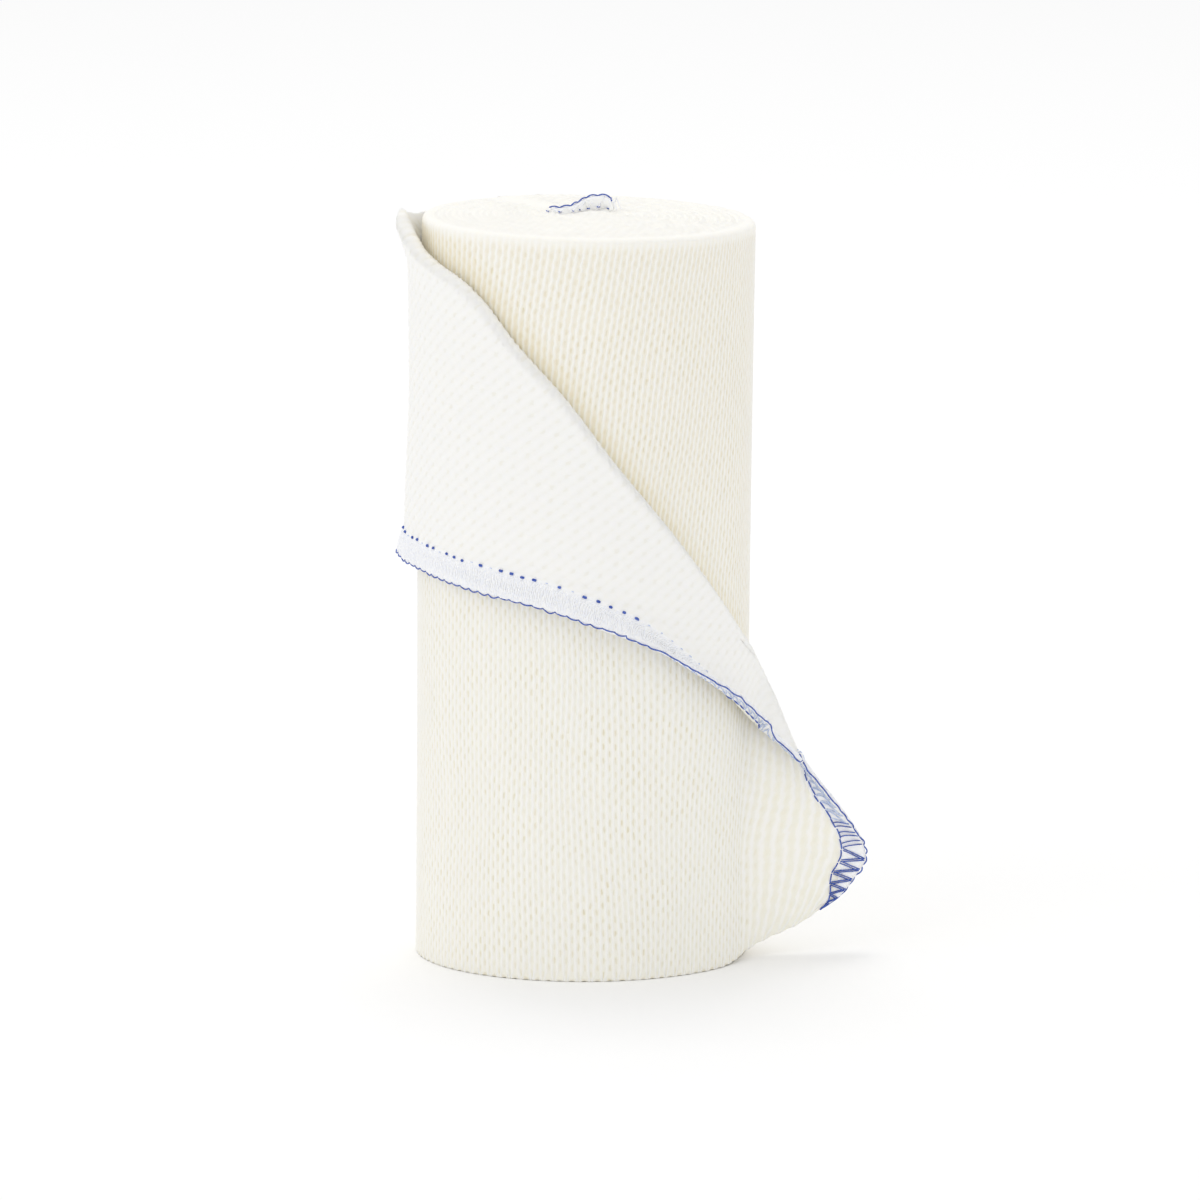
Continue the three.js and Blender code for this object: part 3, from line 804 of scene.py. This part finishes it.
class BANDAGE_OT_wound_roll(bpy.types.Operator):
    """Winds the roll: its outer turn with the knit's ribs, and the wound edge on both flat faces"""

    bl_idname = "bandage.wound_roll"
    bl_label = "Wound roll"

    def execute(self, context):
        profile = roll_profile()
        columns = ROLL_RIBS * STEPS_PER_RIB
        bm, steps = grid(columns + 1, len(profile) - 1, "from_cut", "warm")
        cloth = bm.loops.layers.uv.new("cloth")
        from_cut = bm.verts.layers.float["from_cut"]
        warm = bm.verts.layers.float["warm"]
        relief = sizes().relief / MM
        stitch_of = {
            "foot": lambda row: -row,
            "wall": lambda row: row,
            "rim": lambda row: STITCHES - RIM_STITCHES * (1 - row),
            "head": lambda row: STITCHES + row - HEAD_RIM_LAYERS,
        }
        places = {}
        for vert, (column, level) in steps.items():
            part, row = profile[level]
            rib = min(column, columns) / STEPS_PER_RIB
            stitch = stitch_of[part](row)
            places[vert] = (rib, stitch)
            # The ribs stray and lean on the wall, and the wound edges follow them near it.
            inside = ease(0, 3, rib) * ease(0, 3, ROLL_RIBS - rib)
            if part in ("foot", "head"):
                inside *= 1 - ease(0, LAYERS * 0.8, row - (part == "head") * HEAD_RIM_LAYERS)
            height = min(max(stitch, 0), STITCHES) * STITCH
            straight = LOOSE_START + 360 * rib / ROLL_RIBS
            strayed = rib + inside * (drift(rib + 40, height) + lean(straight, height))
            bearing = LOOSE_START + 360 * strayed / ROLL_RIBS
            if column > columns:
                bearing = LOOSE_START
            point = roll_point(bearing, part, row)
            if part == "wall":
                fade = ease(RIM_STITCHES, KNIT_FADE_STITCHES, STITCHES - row)
                height = rib_height(rib, row) * fade + (1 - fade) * 0.8
                out = direction(bearing) * (height - 1) * relief
                point += Vector((out.x, out.y, 0))
            vert.co = point
            vert[from_cut] = 2 * HEM_WIDTH
            # Painted light and shade: beside the fold's crest the valleys get painted warm shade; on
            # the roll's lit left and near its head the holes' shade is painted out, as lighter there.
            beside = 0.65 * (1 - ease(-1, 6, above_fold(point)))
            painted_light_clears_holes = max(0.8 * (1 - ease(205, 255, bearing)), 0.5 * ease(130, 146, point.z))
            vert[warm] = (beside if beside > 0 else -painted_light_clears_holes) * (part == "wall" or part == "rim")
        for face in bm.faces:
            for loop in face.loops:
                loop[cloth].uv = places[loop.vert]
        bmesh.ops.remove_doubles(bm, verts=bm.verts, dist=0.002)
        piece = finish_piece(bm, "wound_roll", "knit_outer", "ribbed_cotton_of_the_roll")
        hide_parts("roll")
        return {"FINISHED"}


def sheet_rows():
    """Stitches across the strip, with closer rows at its two selvedges."""
    count = int(STITCHES * SHEET_ROWS_PER_STITCH)
    rows = [i / SHEET_ROWS_PER_STITCH for i in range(count + 1)]
    return [rows[0], 0.12, *rows[1:-1], STITCHES - 0.12, rows[-1]]


def sheet_point(rib, stitch, lengths_at):
    """A point of the loose end by rib along the cloth and stitch across it, and its share folded."""
    if rib <= BARE_RIBS:
        bearing = lerp(LOOSE_START + LOOSE_START_GAP, FOLD_START, rib / BARE_RIBS)
        top = head_height(bearing) - BARE_SINK * (1 - ease(162, FOLD_START, bearing))
        return on_path(bearing, top * stitch / STITCHES, 0), 0.0
    place = min((rib - BARE_RIBS) / FOLD_RIBS, 1.0)
    if place not in lengths_at:
        lengths_at[place] = row_lengths(place)
    return folded_point(place, stitch / STITCHES, lengths_at[place])


class BANDAGE_OT_loose_cloth(bpy.types.Operator):
    """Lays the loose end round the roll, with its corner folded down and its hem curled"""

    bl_idname = "bandage.loose_cloth"
    bl_label = "Loose cloth"

    def execute(self, context):
        rows = sheet_rows()
        columns = SHEET_RIBS * STEPS_PER_RIB
        bm, steps = grid(columns, len(rows) - 1, "from_cut", "warm")
        cloth = bm.loops.layers.uv.new("cloth")
        reverse = bm.loops.layers.uv.new("reverse")
        from_cut = bm.verts.layers.float["from_cut"]
        warm = bm.verts.layers.float["warm"]
        by_step = {step: vert for vert, step in steps.items()}
        lengths_at = {}
        folded = {}
        for vert, (column, level) in steps.items():
            rib = column / STEPS_PER_RIB
            stitch = rows[level]
            settled = ease(0, 4, rib) * ease(0, 14, SHEET_RIBS - rib)
            strayed = rib + settled * drift(rib, stitch * STITCH)
            vert.co, folded[vert] = sheet_point(strayed, stitch, lengths_at)
        for level in range(len(rows)):
            distance = 0.0
            for column in range(columns, -1, -1):
                vert = by_step[column, level]
                if column < columns:
                    distance += (vert.co - by_step[column + 1, level].co).length
                vert[from_cut] = distance / narrowing(rows[level] * STITCH)
        bm.normal_update()
        face_relief = sizes().relief / MM
        reverse_relief = sizes().reverse_relief / MM
        moves, face_places, reverse_places = {}, {}, {}
        for vert, (column, level) in steps.items():
            rib, stitch = column / STEPS_PER_RIB, rows[level]
            face_places[vert] = (rib, stitch)
            reverse_places[vert] = reverse_place(vert.co)
            outside = (rib_height(rib, stitch) - 1) * face_relief
            inside = (0.5 - stroke_height(*reverse_places[vert])) * reverse_relief
            plain = ease(HEM_WIDTH - 1.5, HEM_WIDTH + 0.5, vert[from_cut])
            moves[vert] = vert.normal * lerp(outside, inside, folded[vert]) * plain
            # Painted light and shade: inside the pocket the cloth is painted a warm glow, for light
            # that comes through it, and the free corner's holes are painted out, as lit from behind.
            pocket = ease(150, 175, bearing_of(vert.co)) * ease(120, 146, vert.co.z)
            free = 0.8 * ease(29, 36, vert.co.x) * (rib > BARE_RIBS + FOLD_RIBS / 2)
            vert[warm] = 0.35 * pocket * (1 - folded[vert]) * (rib < BARE_RIBS + 18) - free
        for vert, move in moves.items():
            vert.co += move
        for level, inwards in ((0, 1), (len(rows) - 1, -1)):
            for column in range(columns + 1):
                vert, inner = by_step[column, level], by_step[column, level + inwards]
                raised = (1 - math.cos(math.pi * (column / STEPS_PER_RIB - 0.5))) / 2
                vert.co = vert.co.lerp(inner.co, 0.6 * raised)
        for face in bm.faces:
            for loop in face.loops:
                loop[cloth].uv = face_places[loop.vert]
                loop[reverse].uv = reverse_places[loop.vert]
        piece = finish_piece(
            bm, "loose_cloth", "knit_loose", "ribbed_cotton_face", "brushed_cotton_reverse",
        )
        wall = piece.modifiers.new("Cloth thickness", "SOLIDIFY")
        wall.thickness = sizes().thickness
        wall.offset = 0
        wall.material_offset = 1
        wall.material_offset_rim = 0
        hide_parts("loose_end")
        return {"FINISHED"}


def narrowing(along):
    """How much of the overlock's width is left at the lower corner, where the selvedge crosses it."""
    return lerp(NARROWEST, 1, ease(0, NARROWED_LENGTH, along))


class Hem:
    """Places on the hem, by distance along the cut end from the lower corner and in from the edge."""

    STEPS = 36
    SAMPLES = 300
    DEEPEST = 0.12

    def __init__(self):
        self.lines = {}
        self.lengths_at = {}
        total, points = 0.0, [self.raw(0, 0)]
        self.along = [0.0]
        for i in range(1, self.SAMPLES + 1):
            points.append(self.raw(i * STITCHES / self.SAMPLES, 0))
            total += (points[-1] - points[-2]).length
            self.along.append(total)
        self.length = total

    def raw(self, stitch, step):
        rib = SHEET_RIBS - FOLD_RIBS * self.DEEPEST * step / self.STEPS
        return sheet_point(rib, stitch, self.lengths_at)[0]

    def stitch_at(self, along):
        """The stitch across the strip at a real distance along the cut end."""
        along = min(max(along, 0), self.length - 1e-6)
        i = max(j for j in range(len(self.along) - 1) if self.along[j] <= along)
        share = (along - self.along[i]) / (self.along[i + 1] - self.along[i])
        return (i + share) * STITCHES / self.SAMPLES

    def line(self, stitch):
        key = round(stitch, 4)
        if key not in self.lines:
            self.lines[key] = [self.raw(key, step) for step in range(self.STEPS + 1)]
        return self.lines[key]

    def on_line(self, line, inset):
        if inset <= 0:
            return line[0] + (line[0] - line[1]).normalized() * -inset
        for a, b in zip(line, line[1:]):
            step = (b - a).length
            if inset <= step:
                return a.lerp(b, inset / step)
            inset -= step
        return line[-1]

    def point(self, along, inset, off=0.0):
        """A place on the hem, off its middle: above 0 on the outer face, below 0 on the reverse."""
        here = self.stitch_at(along)
        inset *= narrowing(along)
        middle = self.on_line(self.line(here), inset)
        if off == 0:
            return middle
        behind = self.on_line(self.line(max(here - 0.1, 0)), max(inset, 0))
        ahead = self.on_line(self.line(min(here + 0.1, STITCHES)), max(inset, 0))
        outer = self.on_line(self.line(here), max(inset, 0))
        deeper = self.on_line(self.line(here), max(inset, 0) + 0.4)
        normal = (outer - deeper).cross(ahead - behind).normalized()
        return middle + normal * off


def arc(hem, start, end, inset, off, bow_inset=0.0, bow_off=0.0, steps=7):
    """A thread between two places on the hem, each (along, inset), bowed in the middle."""
    points = []
    for i in range(steps + 1):
        t = i / steps
        bow = math.sin(math.pi * t)
        along = lerp(start[0], end[0], t)
        depth = lerp(start[1], end[1], t) + inset + bow * bow_inset
        points.append(hem.point(along, depth, off + bow * bow_off))
    return points


class BANDAGE_OT_overlock(bpy.types.Operator):
    """Sews the overlock over the cut end: blue edge and needle threads, and white looper threads"""

    bl_idname = "bandage.overlock"
    bl_label = "Overlock"

    def execute(self, context):
        hem = Hem()
        pitch = sizes().overlock_stitch / MM
        thread = sizes().thread
        lift = sizes().thickness / MM / 2
        needle = HEM_WIDTH - 0.5
        chance = random.Random(11)
        edge, line, dots, faint, zigzag, pale, looper = [], [], [], [], [], [], []
        count = int(hem.length / pitch)
        for i in range(count):
            start, middle, end = i * pitch, (i + 0.5) * pitch, (i + 1) * pitch
            slack = chance.uniform(0.25, 0.6)
            turned = bearing_of(hem.point(start, needle)) > HEM_TURNS_OVER
            side = 0.15 if turned else -0.35
            edge += arc(hem, (start, 0), (end, 0), 0.1, side, -slack, chance.uniform(-0.2, 0.2))[:-1]
            wide = chance.uniform(0.12, 0.3)
            depth = needle + chance.uniform(-0.2, 0.2)
            seen = faint if turned or chance.random() < 0.15 else dots
            seen.append(arc(hem, (start - wide, depth), (start + wide, depth), 0, -lift, 0, -0.2, 4))
            line.append(arc(hem, (start + 0.12, depth), (end - 0.12, depth), 0, lift - 0.1, 0, 0.22))
            top = needle - 0.25
            foot = chance.uniform(0.05, 0.3)
            over = zigzag if end < COVERED_LENGTH else pale
            if COVERED_LENGTH - 3 * pitch < end < COVERED_LENGTH:
                for slip in (0.2 * pitch, 0.6 * pitch):
                    over.append(arc(hem, (start + slip, top), (end + slip, foot), 0, lift, 0.5, 0.35))
            else:
                for beside in (0, 0.4) if over is zigzag else (0,):
                    down, up = middle + beside, end - 0.1 + beside
                    over.append(arc(hem, (start + 0.15 + beside, top), (down, foot), 0, lift, 0, 0.15))
                    over.append(arc(hem, (down, foot), (up, top), 0, lift, 0, 0.15))
            for k in range(4):
                slip = (k - 1.5) * pitch / 4 + chance.uniform(-0.2, 0.2)
                for far in (start, end):
                    looper.append(arc(
                        hem, (far + slip, top), (middle + 0.6 * slip, 0.0), 0, 0.06 - lift, 0, -0.14, 6,
                    ))
        made = [
            threads("overlock_edge_thread", [edge], thread, "blue"),
            threads("overlock_needle_line", line, thread, "blue"),
            threads("overlock_needle_dots", dots, thread * 1.9, "blue"),
            threads("overlock_faint_dots", faint, thread * 0.6, "pale_blue"),
            threads("overlock_cover_thread", zigzag, thread * 0.8, "blue"),
            threads("overlock_pale_thread", pale, thread * 0.9, "pale_blue"),
            threads("overlock_looper_thread", looper, thread, "white"),
        ]
        return {"FINISHED"}


def inner_line(t):
    """The middle of the inner end's S at a share t of its length: place, direction and rise."""
    reach = [0.0]
    for a, b in zip(INNER_END, INNER_END[1:]):
        reach.append(reach[-1] + math.hypot(b["x"] - a["x"], b["y"] - a["y"]))
    at = {k: curve([(s, row[k]) for s, row in zip(reach, INNER_END)]) for k in ("x", "y", "rise")}
    s = t * reach[-1]
    here = Vector((at["x"](s), at["y"](s)))
    ahead = Vector((at["x"](s + 0.2), at["y"](s + 0.2))) - Vector((at["x"](s - 0.2), at["y"](s - 0.2)))
    return here, ahead.normalized(), at["rise"](s), reach[-1]


class BANDAGE_OT_inner_end(bpy.types.Operator):
    """Stands the strip's overlocked inner end in the middle of the roll's head"""

    bl_idname = "bandage.inner_end"
    bl_label = "Inner end"

    def execute(self, context):
        across, up = 60, 8
        bm, steps = grid(across, up)
        cloth = bm.loops.layers.uv.new("cloth")
        half = CLOTH_THICKNESS / 2
        for vert, (column, level) in steps.items():
            here, ahead, rise, _ = inner_line(column / across)
            side = Vector((ahead.y, -ahead.x)) * half
            turn = 2 * math.pi * level / up
            low = CLOTH_WIDTH + HEAD_SLOPE * here.x - 1.5
            top = CLOTH_WIDTH + rise - half
            height = top + half * math.cos(turn) if math.cos(turn) > -0.1 else low
            spread = math.sin(turn)
            vert.co = Vector((here.x + side.x * spread, here.y + side.y * spread, height))
        for face in bm.faces:
            for loop in face.loops:
                loop[cloth].uv = (steps[loop.vert][0] / 6, 30)
        bmesh.ops.remove_doubles(bm, verts=bm.verts, dist=0.002)
        bmesh.ops.holes_fill(bm, edges=[e for e in bm.edges if e.is_boundary], sides=0)
        bmesh.ops.recalc_face_normals(bm, faces=bm.faces)
        piece = finish_piece(bm, "inner_end", "knit_loose", "ribbed_cotton_face")
        away = piece.data.attributes.new("from_cut", "FLOAT", "POINT")
        away.data.foreach_set("value", [0.0] * len(piece.data.vertices))
        self.sew()
        return {"FINISHED"}

    def sew(self):
        """The overlock threads that show on the inner end."""
        thread = sizes().thread
        pitch = sizes().overlock_stitch / MM
        length = inner_line(0)[3]
        half = CLOTH_THICKNESS / 2
        edge, dots, looper = [], [], []
        for i in range(int(length / pitch) + 1):
            for k in range(6):
                t = (i + k / 6) * pitch / length
                if t <= 1:
                    here, ahead, rise, _ = inner_line(t)
                    scallop = 0.3 * math.sin(math.pi * k / 6)
                    edge.append(Vector((here.x, here.y, CLOTH_WIDTH + rise + scallop)))
            t = min(i * pitch / length, 1)
            here, ahead, rise, _ = inner_line(t)
            side = Vector((ahead.y, -ahead.x))
            for out in (-1, 1):
                face = here + side * (half + 0.1) * out
                low = max(rise - 2.2, 0.25)
                dots.append([
                    Vector((face.x + ahead.x * w, face.y + ahead.y * w, CLOTH_WIDTH + low))
                    for w in (-0.3, 0, 0.3)
                ])
                half_up = (low + rise) / 2
                looper.append([
                    Vector((
                        face.x + ahead.x * w * pitch, face.y + ahead.y * w * pitch, CLOTH_WIDTH + z,
                    ))
                    for w, z in ((0, low), (0.25, half_up), (0.5, rise), (0.75, half_up), (1, low))
                ])
        threads("inner_end_edge_thread", [edge], thread, "blue")
        threads("inner_end_needle_dots", dots, thread, "blue")
        threads("inner_end_looper_thread", looper, thread, "white")


class BANDAGE_OT_studio(bpy.types.Operator):
    """Sets the white floor, the soft lights and the camera"""

    bl_idname = "bandage.studio"
    bl_label = "Studio"

    def execute(self, context):
        scene = context.scene
        bm = bmesh.new()
        bmesh.ops.create_grid(bm, x_segments=1, y_segments=1, size=12)
        mesh = bpy.data.meshes.new("floor")
        bm.to_mesh(mesh)
        bm.free()
        floor = bpy.data.objects.new("floor", mesh)
        scene.collection.objects.link(floor)
        mesh.materials.append(new_material("matt_white_paint", {
            "Base Color": tuple(colours().floor), "Roughness": 1.0, "Specular IOR Level": 0.0,
        })[0])

        world = bpy.data.worlds.new("studio")
        world.use_nodes = True
        sky = world.node_tree.nodes["Background"]
        sky.inputs["Color"].default_value = (1, 1, 1, 1)
        sky.inputs["Strength"].default_value = 0.848
        scene.world = world
        scene.view_settings.view_transform = "Standard"

        for name, place, size, power in (
            ("key", (-1.6, -1.5, 1.5), 1.8, 5.0),
            ("top", (-0.1, 0.6, 2.3), 0.8, 6.0),
            ("back", (-0.2, 1.1, 2.0), 1.0, 2.5),
        ):
            data = bpy.data.lights.new(name, "AREA")
            data.shape = "SQUARE"
            data.size = size
            data.energy = power
            light = bpy.data.objects.new(name, data)
            light.location = place
            aim = Vector((0, 0, 0.05)) - Vector(place)
            light.rotation_euler = aim.to_track_quat("-Z", "Y").to_euler()
            scene.collection.objects.link(light)

        pan, tilt = 0.0014, 0.1671
        data = bpy.data.cameras.new("camera")
        data.lens = 340.57
        data.sensor_width = 36
        camera = bpy.data.objects.new("camera", data)
        camera.location = (0, -2.260, 0.4529)
        forward = Vector((
            math.sin(pan) * math.cos(tilt), math.cos(pan) * math.cos(tilt), -math.sin(tilt),
        ))
        camera.rotation_euler = forward.to_track_quat("-Z", "Y").to_euler()
        scene.collection.objects.link(camera)
        scene.camera = camera
        return {"FINISHED"}


class BANDAGE_PT_panel(bpy.types.Panel):
    """The sizes, the colours and the pieces"""

    bl_idname = "BANDAGE_PT_panel"
    bl_label = "Elastic bandage roll"
    bl_space_type = "VIEW_3D"
    bl_region_type = "UI"
    bl_category = "Bandage"

    def draw(self, context):
        for group in (context.scene.bandage_sizes, context.scene.bandage_colours):
            box = self.layout.box()
            for name in group.__annotations__:
                box.prop(group, name)
        for operator in OPERATORS:
            self.layout.operator(operator.bl_idname)


OPERATORS = (
    BANDAGE_OT_studio,
    BANDAGE_OT_wound_roll,
    BANDAGE_OT_loose_cloth,
    BANDAGE_OT_overlock,
    BANDAGE_OT_inner_end,
)
CLASSES = (BandageSizes, BandageColours, *OPERATORS, BANDAGE_PT_panel)


def register():
    for cls in CLASSES:
        bpy.utils.register_class(cls)
    bpy.types.Scene.bandage_sizes = bpy.props.PointerProperty(type=BandageSizes)
    bpy.types.Scene.bandage_colours = bpy.props.PointerProperty(type=BandageColours)


def unregister():
    del bpy.types.Scene.bandage_colours
    del bpy.types.Scene.bandage_sizes
    for cls in reversed(CLASSES):
        bpy.utils.unregister_class(cls)


def main():
    register()
    bpy.ops.bandage.studio()
    bpy.ops.bandage.wound_roll()
    bpy.ops.bandage.loose_cloth()
    bpy.ops.bandage.overlock()
    bpy.ops.bandage.inner_end()
    bpy.context.view_layer.update()


if __name__ == "__main__":
    main()
